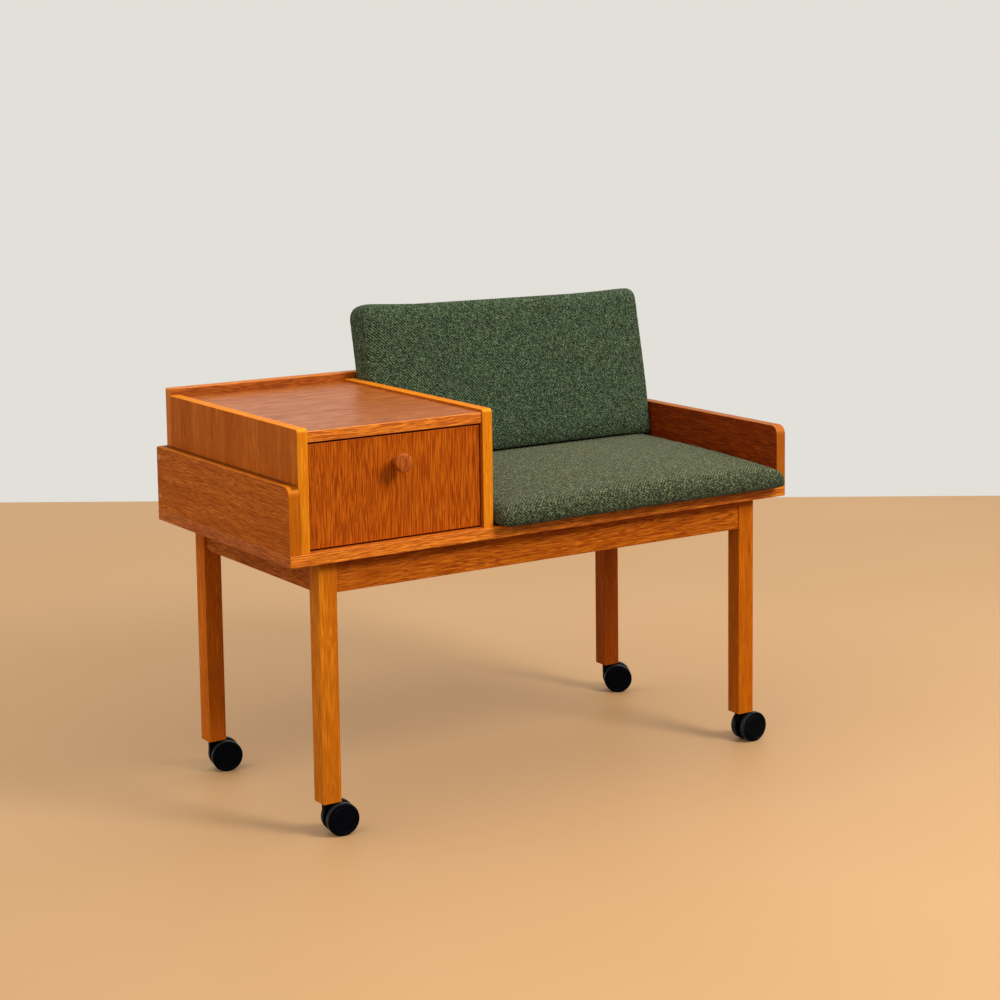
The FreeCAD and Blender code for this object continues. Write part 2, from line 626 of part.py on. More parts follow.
# Aprons with a tenon at each end
def apron(label, length, along_x, centre_x, centre_y):
    body = new_body(label)
    side = sketch_on(body, "XZ_Plane" if along_x else "YZ_Plane", label + "Side")
    half = "(%s / 2)" % length
    tip = "(%s / 2 + tenonLength)" % length
    low, high = "tenonShoulder", "apronHeight - tenonShoulder"
    polygon(side, (("-" + half, "0"), (half, "0"), (half, "apronHeight"),
                   ("-" + half, "apronHeight")))
    pad(body, side, "apronThick", middle=True)
    soften(body, "apronEase",
           lambda m, w: near(m.z, 0) and abs(w.x if along_x else w.y) > 0.9)
    tenon = sketch_on(body, "XZ_Plane" if along_x else "YZ_Plane", label + "Tenon")
    polygon(tenon, (("-" + tip, low), (tip, low), (tip, high), ("-" + tip, high)))
    pad(body, tenon, "tenonThick", middle=True)
    place(body, centre_x, centre_y, "%s - apronHeight" % BOARD_UNDER)
    return body


LONG = "(boardLength - 2 * legInsetEnd - 2 * legSide)"
SHORT = "(boardDepth - 2 * legInsetFront - 2 * legSide)"
MIDDLE_Y = "(%s + boardDepth / 2)" % FRONT
LONG_LINE = "legInsetFront + apronSetBack + apronThick / 2"
SHORT_LINE = "(legInsetEnd + sideApronSetBack + apronThick / 2)"
apron("apron_front", LONG, True, "0", "%s + %s" % (FRONT, LONG_LINE))
apron("apron_back", LONG, True, "0", "%s - (%s)" % (REAR, LONG_LINE))
apron("apron_left", SHORT, False, "%s + %s" % (LEFT, SHORT_LINE), MIDDLE_Y)
apron("apron_right", SHORT, False, "%s - %s" % (RIGHT, SHORT_LINE), MIDDLE_Y)

# Corner blocks: a notched brace between each pair of aprons, drawn from the leg's centre
SHORT_INNER = "(legSide / 2 - sideApronSetBack - apronThick)"
LONG_INNER = "(legSide / 2 - apronSetBack - apronThick)"
for corner, sx, sy in CORNERS:
    body = new_body("corner_block_" + corner)
    shape = sketch_on(body, "XY_Plane", body.Label + "Shape")
    face, reach = "(legSide / 2 + blockClear)", "(legSide / 2 + blockReach)"
    points = (("-" + SHORT_INNER, face), ("-" + SHORT_INNER, reach), (reach, "-" + LONG_INNER),
              (face, "-" + LONG_INNER), (face, face))
    polygon(shape, [(signed(-sx, u), signed(-sy, v)) for u, v in points])
    pad(body, shape, "blockHeight")
    place(body, signed(sx, LEG_X), leg_y(sy), "%s - blockHeight" % BOARD_UNDER)


# Castors: a sleeve in the leg, a stem, a body between two wheels, an axle.  Each piece is
# drawn with the swivel axis on its own Z axis, the floor at 0 and the trail along +X.
HEAD_FOOT = "(2 * wheelRadius + castorHeadClear)"
HEAD_TOP = "(%s + castorHeadThick)" % HEAD_FOOT
CORE_WIDTH = "(wheelSplit - 2 * wheelSideClear)"
ANGLES = {"front_left": "castorAngleFrontLeft", "front_right": "castorAngleFrontRight",
          "rear_left": "castorAngleRearLeft", "rear_right": "castorAngleRearRight"}


def castor(corner, sx, sy):
    at = (signed(sx, LEG_X), leg_y(sy))
    turn = ANGLES[corner]

    sleeve = new_body("castor_sleeve_" + corner)
    ring = sketch_on(sleeve, "XY_Plane", sleeve.Label + "Ring")
    circle(ring, "0", "0", SLEEVE_RADIUS)
    circle(ring, "0", "0", "stemRadius + runningClear")
    pad(sleeve, ring, "sleeveLength")
    place(sleeve, at[0], at[1], FOOT)

    stem = new_body("castor_stem_" + corner)
    upper = sketch_on(stem, "XY_Plane", stem.Label + "Upper", HEAD_TOP)
    circle(upper, "0", "0", "stemRadius")
    pad(stem, upper, "stemLength")
    lower = sketch_on(stem, "XY_Plane", stem.Label + "Lower", HEAD_TOP)
    circle(lower, "0", "0", "stemShankRadius")
    pad(stem, lower, "stemShankLength", backwards=True)
    soften_rim(stem, "PartDesign::Chamfer",
               Vector(0, 0, value_of("%s + stemLength" % HEAD_TOP)), "stemRadius / 4")
    place(stem, at[0], at[1], "0", turn)

    body = new_body("castor_body_" + corner)
    core = sketch_on(body, "XZ_Plane", body.Label + "Core")
    circle(core, "castorTrail", "wheelRadius", "castorCoreRadius")
    pad(body, core, CORE_WIDTH, middle=True)
    neck = sketch_on(body, "XZ_Plane", body.Label + "Neck")
    side = CORE_WIDTH + " / 2 + stemShankRadius"
    polygon(neck, (("-(%s)" % side, "wheelRadius + castorCoreRadius / 2"),
                   ("castorTrail", "wheelRadius"),
                   ("castorTrail", "wheelRadius + castorCoreRadius"), (side, HEAD_FOOT),
                   ("-(%s)" % side, HEAD_FOOT)))
    pad(body, neck, CORE_WIDTH, middle=True)
    head = sketch_on(body, "XY_Plane", body.Label + "Head", HEAD_FOOT)
    circle(head, "0", "0", "castorHeadRadius")
    pad(body, head, "castorHeadThick")
    seat = sketch_on(body, "XY_Plane", body.Label + "Seat", HEAD_TOP)
    circle(seat, "0", "0", "stemShankRadius")
    pocket(body, seat, "stemShankLength")
    hub = sketch_on(body, "XZ_Plane", body.Label + "Hub")
    circle(hub, "castorTrail", "wheelRadius", "axleRadius")
    pocket(body, hub, CORE_WIDTH, middle=True)
    place(body, at[0], at[1], "0", turn)

    axle = new_body("castor_axle_" + corner)
    rod = sketch_on(axle, "XZ_Plane", axle.Label + "Rod")
    circle(rod, "castorTrail", "wheelRadius", "axleRadius")
    pad(axle, rod, "wheelSplit + 2 * (wheelWidth - wheelCap - axleEndClear)", middle=True)
    place(axle, at[0], at[1], "0", turn)

    for name, side in (("a", -1), ("b", 1)):
        wheel = new_body("castor_wheel_%s_%s" % (corner, name))
        profile = sketch_on(wheel, "XY_Plane", wheel.Label + "Profile", "wheelRadius")
        inner, outer = "wheelSplit / 2", "wheelSplit / 2 + wheelWidth"
        cap = "wheelSplit / 2 + wheelWidth - wheelCap"
        sunk = "wheelSplit / 2 + wheelWidth - wheelGrooveDepth"
        bore = "(axleRadius + runningClear)"
        groove_in = "(wheelGrooveRadius - wheelGrooveWidth)"
        rounded = "wheelRound * 0.3"
        points = ((bore, inner), ("wheelRadius - wheelRound", inner),
                  ("wheelRadius - " + rounded, inner + " + " + rounded),
                  ("wheelRadius", inner + " + wheelRound"),
                  ("wheelRadius", outer + " - wheelRound"),
                  ("wheelRadius - " + rounded, outer + " - " + rounded),
                  ("wheelRadius - wheelRound", outer), ("wheelGrooveRadius", outer),
                  ("wheelGrooveRadius", sunk), (groove_in, sunk), (groove_in, outer),
                  ("0", outer), ("0", cap), (bore, cap))
        placed = [("castorTrail + (%s)" % u, signed(side, v)) for u, v in points]
        polygon(profile, placed)
        trail, half_line = value_of("castorTrail"), value_of("wheelRadius * 2")
        line = profile.addGeometry(Part.LineSegment(
            Vector(trail, -half_line, 0), Vector(trail, half_line, 0)), True)
        profile.addConstraint(Sketcher.Constraint("Vertical", line))
        fix(profile, "DistanceX", (-1, 1, line, 1), "castorTrail")
        for end in (1, 2):
            fix(profile, "DistanceY", ((line, 1, -1, 1) if end == 1 else (-1, 1, line, 2)),
                "wheelRadius * 2")
        turning = wheel.newObject("PartDesign::Revolution", wheel.Label + "Turn")
        turning.Profile = profile
        turning.ReferenceAxis = (profile, ["Axis0"])
        turning.Angle = 360
        doc.recompute()
        place(wheel, at[0], at[1], "0", turn)


for corner, sx, sy in CORNERS:
    castor(corner, sx, sy)


# Cushions: closed lofts across the bench, each section a polygon with rounded corners
# whose long sides bulge.
def rolled(radius, inset):
    """How far a rounded end of that radius has drawn in, inset from its tip."""
    return radius - math.sqrt(radius * radius - (radius - min(inset, radius)) ** 2)


def cushion(label, width, roll, section, x, y, z):
    """Lofts through section(inset, crown) at stations that crowd into the rounded ends."""
    body = new_body(label)
    level = 1.05 * roll
    stations = [level * share for share in (0, 0.08, 0.22, 0.42, 0.68, 1)]
    stations += [level + (width / 2 - level) * share for share in (0.1, 0.25, 0.45, 0.7)]
    offsets = [(inset, inset) for inset in stations]
    offsets += [(width / 2, width / 2)]
    offsets += [(width - inset, inset) for inset in reversed(stations)]
    sketches = []
    for number, (across, inset) in enumerate(offsets):
        sketch = sketch_on(body, "YZ_Plane", "%sSection%d" % (label, number))
        sketch.AttachmentOffset = Placement(Vector(0, 0, across), Rotation())
        crown = 1 - (2 * across / width - 1) ** 2
        edges = section(inset + roll / 30, crown)
        add_outline(sketch, edges)
        sketches.append(sketch)
    doc.recompute()
    loft = body.newObject("PartDesign::AdditiveLoft", label + "Loft")
    loft.Profile = sketches[0]
    loft.Sections = [(sketch, [""]) for sketch in sketches[1:]]
    loft.Ruled = True
    doc.recompute()
    place(body, x, y, z)
    return body


clear = value_of("cushionClear")
seat_left = "(%s + cushionClear)" % BOX_RIGHT
seat_width = value_of("boardLength - 2 * lowPanelThick - boxWidth - 2 * cushionClear")
lean = math.radians(value_of("backLean"))
back_foot = value_of("seatRear + seatRearCrown + cushionClear")
rest_line = value_of("boardDepth - backBoardThick - cushionClear")
foot_line = (rest_line - math.tan(lean) * (value_of("backBoardHeight") - back_foot)
             - value_of("backThick") / math.cos(lean))
seat_rear = value_of("boardDepth - backBoardThick - cushionClear")


def seat_section(inset, crown):
    """Flat underneath, full at the nose, arched on top, level where the back cushion
    stands.  Y counts from the board's front edge and Z from its top."""
    drop = rolled(value_of("seatRoll"), inset)
    nose = value_of("seatNose") + value_of("seatNoseCrown") * crown - drop
    rear = value_of("seatRear") + value_of("seatRearCrown") * crown - drop
    foot = clear + drop * 0.25
    front = -value_of("seatOverhang") + drop * 0.6
    back_line = seat_rear - drop * 0.2
    big = min(value_of("seatNoseRadius"), (nose - foot) * 0.66)
    small = min(value_of("seatLowerRound"), (nose - foot) * 0.25)
    behind = value_of("seatRearRound")
    points = [Vector(front, foot, 0), Vector(back_line, foot, 0), Vector(back_line, rear, 0),
              Vector(foot_line, rear, 0), Vector(front, nose, 0)]
    rise = value_of("seatSag") + value_of("seatCrown") * crown
    return rounded_outline(points, (small, behind / 2, behind, 3 * behind, big),
                           (0, 0, 0, rise, 0))


cushion("seat_cushion", seat_width, value_of("seatRoll"), seat_section, seat_left,
        FRONT, BOARD_TOP)

back_left = "(%s + backBoxGap)" % BOX_RIGHT
back_width = value_of("boardLength - 2 * lowPanelThick - boxWidth - backBoxGap - backEndGap")
back_top = value_of("backTop")
along = Vector(math.sin(lean), math.cos(lean), 0)
across = Vector(math.cos(lean), -math.sin(lean), 0)


def back_section(inset, crown):
    """A leaning slab: flat foot on the seat cushion, a full front, a flat rear that
    touches the back board's top edge, rounded top edges."""
    drop = rolled(value_of("backRoll"), inset)
    corner = rolled(value_of("backCorner"), inset)
    low = rolled(value_of("backCorner") * 0.5, inset)
    thick = value_of("backThick")
    foot = back_foot + low
    front_foot = Vector(foot_line, back_foot, 0) + along * (low / along.y) + across * drop
    height = (back_top - corner - foot) / along.y
    front_top = front_foot + along * height
    body_thick = thick - 1.6 * drop
    rear_foot = front_foot + across * body_thick
    rear_foot = rear_foot + along * ((foot - rear_foot.y) / along.y)
    rear_top = front_top + across * body_thick
    lower = min(value_of("backLowerRound"), body_thick * 0.2)
    radii = (lower, lower,
             min(value_of("backEdge"), body_thick * 0.4),
             min(value_of("backEdge"), body_thick * 0.4))
    points = [front_foot, rear_foot, rear_top, front_top]
    rise = value_of("backCrown") * (0.25 + 0.75 * crown)
    return rounded_outline(points, radii, (0, 0, 0, rise))


cushion("back_cushion", back_width, value_of("backRoll"), back_section, back_left,
        FRONT, BOARD_TOP)

doc.recompute()
for piece in doc.Objects:
    if "Invalid" in piece.State or "Error" in piece.State:
        raise ValueError("%s: %s" % (piece.Label, piece.State))
for piece in pieces:
    if piece.Shape.isNull() or not piece.Shape.isValid() or len(piece.Shape.Solids) != 1:
        raise ValueError("%s has no single sound solid" % piece.Label)

os.makedirs("parts", exist_ok=True)
whole = FreeCAD.BoundBox()
for piece in pieces:
    piece.Shape.exportStep("parts/%s.step" % piece.Label)
    whole.add(piece.Shape.BoundBox)
print("%d pieces, %.1f to %.1f, %.1f to %.1f, %.1f to %.1f" % (
    len(pieces), whole.XMin, whole.XMax, whole.YMin, whole.YMax, whole.ZMin, whole.ZMax))
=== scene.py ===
"""Telephone bench on castors: wood, fabric and plastic finishes, soft cushions, a pale
floor and soft light.  Metres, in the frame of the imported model."""

from collections import namedtuple
import math

import bmesh
import bpy
from mathutils import Matrix, Vector


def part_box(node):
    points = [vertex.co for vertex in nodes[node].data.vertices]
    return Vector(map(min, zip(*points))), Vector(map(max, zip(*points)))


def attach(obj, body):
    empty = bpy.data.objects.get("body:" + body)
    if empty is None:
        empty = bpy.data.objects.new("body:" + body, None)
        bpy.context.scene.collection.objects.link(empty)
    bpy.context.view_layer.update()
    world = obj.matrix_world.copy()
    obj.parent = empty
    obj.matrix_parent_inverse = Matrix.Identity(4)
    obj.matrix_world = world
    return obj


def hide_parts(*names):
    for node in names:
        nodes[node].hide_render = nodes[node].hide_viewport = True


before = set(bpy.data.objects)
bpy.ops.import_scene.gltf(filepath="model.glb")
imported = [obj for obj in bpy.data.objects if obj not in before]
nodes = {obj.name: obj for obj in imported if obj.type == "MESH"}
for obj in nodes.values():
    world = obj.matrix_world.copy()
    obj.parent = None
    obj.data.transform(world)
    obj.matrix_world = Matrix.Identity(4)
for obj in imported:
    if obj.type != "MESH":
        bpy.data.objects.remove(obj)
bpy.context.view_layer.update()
scene = bpy.context.scene

MM = 0.001
FRONT, LEFT, RIGHT, UP = (0, -1, 0), (-1, 0, 0), (1, 0, 0), (0, 0, 1)
# the way that each castor trails at rest, in degrees from +X
CASTOR_ANGLES = {"front_left": -9, "front_right": 2, "rear_left": -13, "rear_right": -29}


# Node graphs
class Graph:
    """A short way to write the nodes of a tree."""

    def __init__(self, tree):
        self.tree = tree
        tree.nodes.clear()

    def feed(self, socket, value):
        if isinstance(value, bpy.types.NodeSocket):
            self.tree.links.new(value, socket)
        else:
            socket.default_value = value

    def whole(self, kind, inputs=(), **settings):
        """A new node, with settings such as its operation made before its inputs."""
        made = self.tree.nodes.new("ShaderNode" + kind)
        for key, value in settings.items():
            setattr(made, key, value)
        for key, value in dict(inputs).items():
            self.feed(made.inputs[key], value)
        return made

    def node(self, kind, inputs=(), output=0, **settings):
        return self.whole(kind, inputs, **settings).outputs[output]

    def math(self, operation, a, b=0.0, c=0.0, clamp=False):
        return self.node("Math", {0: a, 1: b, 2: c}, operation=operation, use_clamp=clamp)

    def vector(self, operation, a, b):
        return self.node("VectorMath", {0: a, 1: b}, operation=operation)

    def dot(self, a, b):
        return self.node("VectorMath", {0: a, 1: b}, "Value", operation="DOT_PRODUCT")

    def largest(self, values):
        """The largest of the values."""
        best = values[0]
        for value in values[1:]:
            best = self.math("MAXIMUM", best, value)
        return best

    def mix(self, factor, a, b, kind="MIX"):
        """Colour a turning into colour b."""
        return self.node("Mix", {0: factor, 6: a, 7: b}, 2, data_type="RGBA",
                         blend_type=kind)

    def blend(self, factor, a, b):
        """Number a turning into number b."""
        return self.node("Mix", {0: factor, 2: a, 3: b}, data_type="FLOAT")

    def step(self, value, low, high, out_low=0.0, out_high=1.0):
        """A smooth rise from out_low to out_high between low and high."""
        return self.node("MapRange", {0: value, 1: low, 2: high, 3: out_low, 4: out_high},
                         interpolation_type="SMOOTHSTEP")

    def noise(self, vector, scale, detail=2.0, rough=0.5):
        return self.node("TexNoise", {"Vector": vector, "Scale": scale, "Detail": detail,
                                      "Roughness": rough})

    def ramp(self, value, stops):
        """The colour at value, between stops of a place and a colour."""
        made = self.whole("ValToRGB", {0: value})
        elements = made.color_ramp.elements
        while len(elements) < len(stops):
            elements.new(0.5)
        for element, (at, colour) in zip(elements, stops):
            element.position = at
            element.color = colour
        return made.outputs[0]

    def split(self, vector):
        return self.whole("SeparateXYZ", {0: vector}).outputs

    def join(self, x, y, z):
        return self.node("CombineXYZ", {0: x, 1: y, 2: z})

    def bump(self, height, strength, distance):
        return self.node("Bump", {"Height": height, "Strength": strength,
                                  "Distance": distance})


class Finish(Graph):
    """A material: one shader, and the place and the normal that its nodes start from."""

    def __init__(self, name):
        self.material = bpy.data.materials.new(name)
        self.material.use_nodes = True
        super().__init__(self.material.node_tree)
        self.shader = self.whole("BsdfPrincipled")
        self.whole("OutputMaterial", {"Surface": self.shader.outputs[0]})
        coords = self.whole("TexCoord").outputs
        self.here, self.normal = coords["Object"], coords["Normal"]

    def surface(self, sockets):
        """Feeds the shader's sockets by name, and gives the material."""
        for name, value in sockets.items():
            self.feed(self.shader.inputs[name], value)
        return self.material


def srgb(red, green, blue):
    """Linear colour of an sRGB triple from 0 to 255."""
    def linear(v):
        v /= 255
        return v / 12.92 if v <= 0.04045 else ((v + 0.055) / 1.055) ** 2.4
    return (linear(red), linear(green), linear(blue), 1.0)


def scaled(colour, red, green=None, blue=None):
    """The colour times one factor, or times one for each channel."""
    factors = (red, red if green is None else green, red if blue is None else blue)
    return tuple(c * factor for c, factor in zip(colour, factors)) + (1.0,)


# Wood
Tones = namedtuple("Tones", "dark middle light pore")
# Layers of the grain: waves in a metre along and across the fibres, octaves, and how
# strongly the layer shows
Layer = namedtuple("Layer", "along across octaves weight")
FIGURE = Layer(1.4, 24.0, 2.0, 1.3)
RINGS = Layer(4.0, 105.0, 1.0, 0.8)
STREAKS = Layer(12.0, 430.0, 1.0, 0.6)
FIBRES = Layer(24.0, 900.0, 1.0, 4.2)
PORES = Layer(60.0, 760.0, 0.0, 0.62)
PORE_FROM, PORE_FULL = 0.10, 0.2
SWAY_WAVES = (2.6, 8.0, 8.0)        # slow bends of the fibres
SWAY_REACH = 0.03
SEED_MOVE = (3.7, 1.3, 2.1)         # from one seed to the next, so that no two match
EDGE_SEED, EDGE_BANDS = 5.3, 0.4    # the lipping's own grain
# edge wear and painted highlight: the rounded edges turn towards this many times the lightest
# tone
EDGE_WEAR_AND_HIGHLIGHT = 1.1                     # times the lightest tone
# painted shade at a neighbour: its colour as a share of the mean, then how strongly it shows
# on a side that looks at the neighbour and in the painted shadow on a top beside it
SHADED, NEIGHBOUR_SHADE, NEIGHBOUR_SHADOW = 0.16, 0.9, 0.8
FIBRE_RELIEF, WOOD_BUMP, WOOD_RELIEF = 0.8, 0.25, 0.0004


def tones(mean):
    """The colours of wood whose mean colour is an sRGB triple."""
    middle = srgb(*mean)
    return Tones(scaled(middle, 0.74, 0.62, 0.5), scaled(middle, 1.0, 0.98, 0.9),
                 scaled(middle, 1.42, 1.72, 2.2), scaled(middle, 0.44, 0.30, 0.22))


def wood(graph, grain, colours, seed, bands, streak, pores):
    """Colour, height and tone of wood whose fibres run along grain, X, Y or Z."""
    x, y, z = graph.split(graph.here)
    along, u, v = {"X": (x, y, z), "Y": (y, x, z), "Z": (z, x, y)}[grain]
    shift = [seed * move for move in SEED_MOVE]
    here = graph.vector("ADD", graph.join(along, u, v), shift)
    sway = graph.noise(graph.vector("MULTIPLY", here, SWAY_WAVES), 1.0)
    sway = graph.math("MULTIPLY", graph.math("SUBTRACT", sway, 0.5), SWAY_REACH)
    a, b, c = graph.split(here)
    bent = graph.join(a, graph.math("ADD", b, sway), graph.math("ADD", c, sway))

    def shown(layer):
        waves = (layer.along, layer.across, layer.across)
        made = graph.noise(graph.vector("MULTIPLY", bent, waves), 1.0, layer.octaves)
        return graph.math("SUBTRACT", made, 0.5)

    fibres = shown(FIBRES)
    tone = 0.5
    for height, weight in ((shown(FIGURE), FIGURE.weight * bands),
                           (shown(RINGS), RINGS.weight * bands),
                           (shown(STREAKS), STREAKS.weight * streak)):
        tone = graph.math("MULTIPLY_ADD", height, weight, tone)
    tone = graph.math("MULTIPLY_ADD", fibres, FIBRES.weight * streak, tone, clamp=True)
    colour = graph.ramp(tone, ((0.05, colours.dark), (0.36, colours.middle),
                               (0.58, colours.middle), (0.95, colours.light)))
    pore = graph.math("MULTIPLY", graph.step(shown(PORES), PORE_FROM, PORE_FULL),
                      PORES.weight * pores)
    colour = graph.mix(pore, colour, colours.pore)
    height = graph.math("SUBTRACT", graph.math("MULTIPLY", fibres, FIBRE_RELIEF), pore)
    return colour, height, tone


def looking(graph, ways, low=0.55, high=0.8):
    """1 on faces that look along one of the ways, in the object's frame."""
    return graph.largest([graph.step(graph.dot(graph.normal, way), low, high)
                          for way in ways])


def worn_and_highlit_edges(graph):
    """1 on the rounded edges between the flat faces, in patches, where edge wear and a
    painted highlight make them paler.
    """
    parts = [graph.math("ABSOLUTE", part) for part in graph.split(graph.normal)]
    patch = graph.noise(graph.here, 45.0)
    return graph.math("MULTIPLY", graph.step(graph.largest(parts), 0.88, 0.985, 1.0, 0.0),
                      graph.step(patch, 0.3, 0.6, 0.55, 1.0))


def wood_material(name, grain, mean, seed, edges=None, edge_grain="X", edge_mean=None,
                  rough=0.45, bands=0.5, streak=1.0, pores=1.0, gloss=0.14,
                  edge_streak=0.35, edge_pores=0.25, wear=0.5, shaded_toward=None, shadowed_span=None):
    """Veneer or solid wood, with a lipping of another grain on the faces in edges.  Its
    rounded edges are worn paler and carry a painted highlight; a painted shade darkens
    the faces that look along the given way, at a neighbour, and a painted shadow darkens
    its top between two x places, in the corner with a neighbour."""
    graph = Finish(name)
    edge_tones = tones(edge_mean or mean)
    colour, height, tone = wood(graph, grain, tones(mean), seed, bands, streak, pores)
    if edges:
        trim, trim_height, _ = wood(graph, edge_grain, edge_tones, seed + EDGE_SEED,
                                    EDGE_BANDS, edge_streak, edge_pores)
        factor = looking(graph, edges)
        colour = graph.mix(factor, colour, trim)
        height = graph.blend(factor, height, trim_height)
    # edge wear and a painted highlight make the rounded edges paler
    if wear:
        colour = graph.mix(graph.math("MULTIPLY", worn_and_highlit_edges(graph), wear), colour,
                           scaled(edge_tones.light, EDGE_WEAR_AND_HIGHLIGHT))
    # the colour of the painted shade and the painted shadow
    dark = scaled(srgb(*mean), SHADED)
    # painted shade on the faces that look at a neighbour
    if shaded_toward:
        line = looking(graph, (shaded_toward,), 0.25, 0.5)
        colour = graph.mix(graph.math("MULTIPLY", line, NEIGHBOUR_SHADE), colour, dark)
    # painted shadow: the top is darker between the two x places, beside the neighbour
    if shadowed_span:
        near = graph.step(graph.split(graph.here)[0], *shadowed_span)
        upward = graph.step(graph.split(graph.normal)[2], 0.5, 0.8)
        shade = graph.math("MULTIPLY", near, upward)
        colour = graph.mix(graph.math("MULTIPLY", shade, NEIGHBOUR_SHADOW), colour, dark)
    return graph.surface({
        "Base Color": colour, "Specular IOR Level": gloss,
        "Roughness": graph.step(tone, 0.0, 1.0, rough + 0.07, rough - 0.05),
        "Normal": graph.bump(height, WOOD_BUMP, WOOD_RELIEF)})


# Fabric
WALE = 0.0039       # from one diagonal ridge of the twill to the next
STITCH = 0.0046     # length of a stitch along its ridge
WANDER = 0.0052     # how far a ridge strays
HALF_TURN = 0.7071  # the ridges run at 45 degrees
YARN_SHADOW, YARN_DARK, YARN_LIGHT = 0.08, 0.52, 1.35
YARN_PALE = (3.9, 3.5, 3.3)
RIDGE_TONE, STITCH_TONE, NUB_TONE, FUZZ_TONE, TONE_BASE = 0.28, 0.16, 0.60, 0.6, -0.32
FLECK = srgb(170, 182, 160)
FLECKS_FROM = 0.9975                # one nub in 400 is a fleck
# the first tints random warm patches, the second tints the painted shade on an upright front
WARMER, FRONT_SHADE_TINT = (1.18, 0.98, 0.78, 1.0), (0.5, 0.55, 0.5, 1.0)
SHEEN = srgb(196, 200, 170)


def weave(graph, u, v, way):
    """Ridge height and stitch shade of a twill in the plane of u and v."""
    across = graph.math("MULTIPLY", graph.math("MULTIPLY_ADD", v, way, u), HALF_TURN)
    along = graph.math("MULTIPLY", graph.math("MULTIPLY_ADD", v, -way, u), HALF_TURN)
    stray = graph.math("SUBTRACT", graph.noise(graph.join(u, v, 0.0), 260.0, 2.0, 0.6), 0.5)
    across = graph.math("MULTIPLY_ADD", stray, WANDER, across)
    ridge = graph.math("SINE", graph.math("MULTIPLY", across, 2 * math.pi / WALE))
    ridge = graph.math("MULTIPLY_ADD", ridge, 0.5, 0.5)
    cell = graph.join(graph.math("MULTIPLY", across, 1 / WALE),
                      graph.math("MULTIPLY", along, 1 / STITCH), 0.0)
    stitch = graph.node("TexVoronoi", {"Vector": cell, "Scale": 1.0, "Randomness": 0.8},
                        "Color", voronoi_dimensions="2D")
    return ridge, graph.split(stitch)[0]


def fabric_material(name, tint, lean, sheen, nubs, painted_front_shade):
    """Nubby tweed with pale flecks and so many nubs in a metre; the weave lies in
    whichever plane of the cushion's own frame the surface faces, and a painted shade
    darkens an upright front."""
    graph = Finish(name)
    here, normal = [graph.node("VectorRotate", {"Vector": vector, "Angle": lean},
                               rotation_type="X_AXIS")
                    for vector in (graph.here, graph.normal)]
    x, y, z = graph.split(here)
    nx, ny, nz = [graph.math("ABSOLUTE", part) for part in graph.split(normal)]
    front, top, side = (weave(graph, x, z, 1.0), weave(graph, x, y, -1.0),
                        weave(graph, y, z, 1.0))
    to_top = graph.step(graph.math("SUBTRACT", nz, ny), -0.05, 0.05)
    to_side = graph.step(graph.math("SUBTRACT", nx, graph.math("MAXIMUM", nz, ny)),
                         -0.05, 0.05)
    ridge, shade = [graph.blend(to_side, graph.blend(to_top, front[i], top[i]), side[i])
                    for i in range(2)]
    fuzz = graph.noise(here, 820.0, 2.0, 0.6)
    nub, chance, _ = graph.split(graph.node("TexVoronoi", {"Vector": here, "Scale": nubs},
                                            "Color"))
    level = TONE_BASE
    for part, weight in ((ridge, RIDGE_TONE), (shade, STITCH_TONE), (nub, NUB_TONE),
                         (fuzz, FUZZ_TONE)):
        level = graph.math("MULTIPLY_ADD", part, weight, level)
    colour = graph.ramp(level, ((0.14, scaled(tint, YARN_SHADOW)),
                                (0.42, scaled(tint, YARN_DARK)),
                                (0.64, scaled(tint, YARN_LIGHT)),
                                (0.88, scaled(tint, *YARN_PALE))))
    warm = graph.step(graph.noise(here, 11.0, 3.0, 0.6), 0.45, 0.75, 0.0, 0.3)
    colour = graph.mix(warm, colour, graph.mix(1.0, colour, WARMER, "MULTIPLY"))
    # painted shade: an upright front is darker
    upright = graph.step(graph.math("SUBTRACT", ny, nz), -0.5, 0.6)
    colour = graph.mix(graph.math("MULTIPLY", upright, painted_front_shade), colour,
                       graph.mix(1.0, colour, FRONT_SHADE_TINT, "MULTIPLY"))
    fleck = graph.math("GREATER_THAN", chance, FLECKS_FROM)
    colour = graph.mix(graph.math("MULTIPLY", fleck, 0.6), colour, FLECK)
    height = graph.math("MULTIPLY_ADD", shade, 0.35, ridge)
    height = graph.math("MULTIPLY_ADD", nub, 0.6, height)
    return graph.surface({
        "Base Color": colour, "Roughness": 0.95, "Specular IOR Level": 0.1,
        "Sheen Weight": sheen, "Sheen Roughness": 0.35, "Sheen Tint": SHEEN,
        "Normal": graph.bump(height, 0.6, 0.0012)})


# Plastic and metal
def plastic_material(name, axis=None):
    """Black moulded plastic.  The tread of a wheel on that axis is glossier than its discs
    and painted grey as a highlight."""
    graph = Finish(name)
    wear = graph.noise(graph.here, 120.0, 3.0, 0.6)
    colour = graph.ramp(wear, ((0.3, srgb(1, 3, 7)), (0.75, srgb(5, 8, 13))))
    rough = graph.step(wear, 0.2, 0.8, 0.45, 0.6)
    if axis is not None:
        facing = graph.math("ABSOLUTE", graph.dot(graph.normal, axis))
        tread = graph.step(facing, 0.2, 0.75, 1.0, 0.0)
        # painted highlight: the tread is painted grey
        highlit_tread = graph.ramp(wear, ((0.3, srgb(34, 38, 40)), (0.75, srgb(58, 62, 62))))
        colour = graph.mix(tread, colour, highlit_tread)
        rough = graph.blend(tread, rough, 0.34)
    grain = graph.noise(graph.here, 900.0, 3.0, 0.6)
    return graph.surface({"Base Color": colour, "Roughness": rough,
                          "Specular IOR Level": 0.03,
                          "Normal": graph.bump(grain, 0.08, 0.0002)})


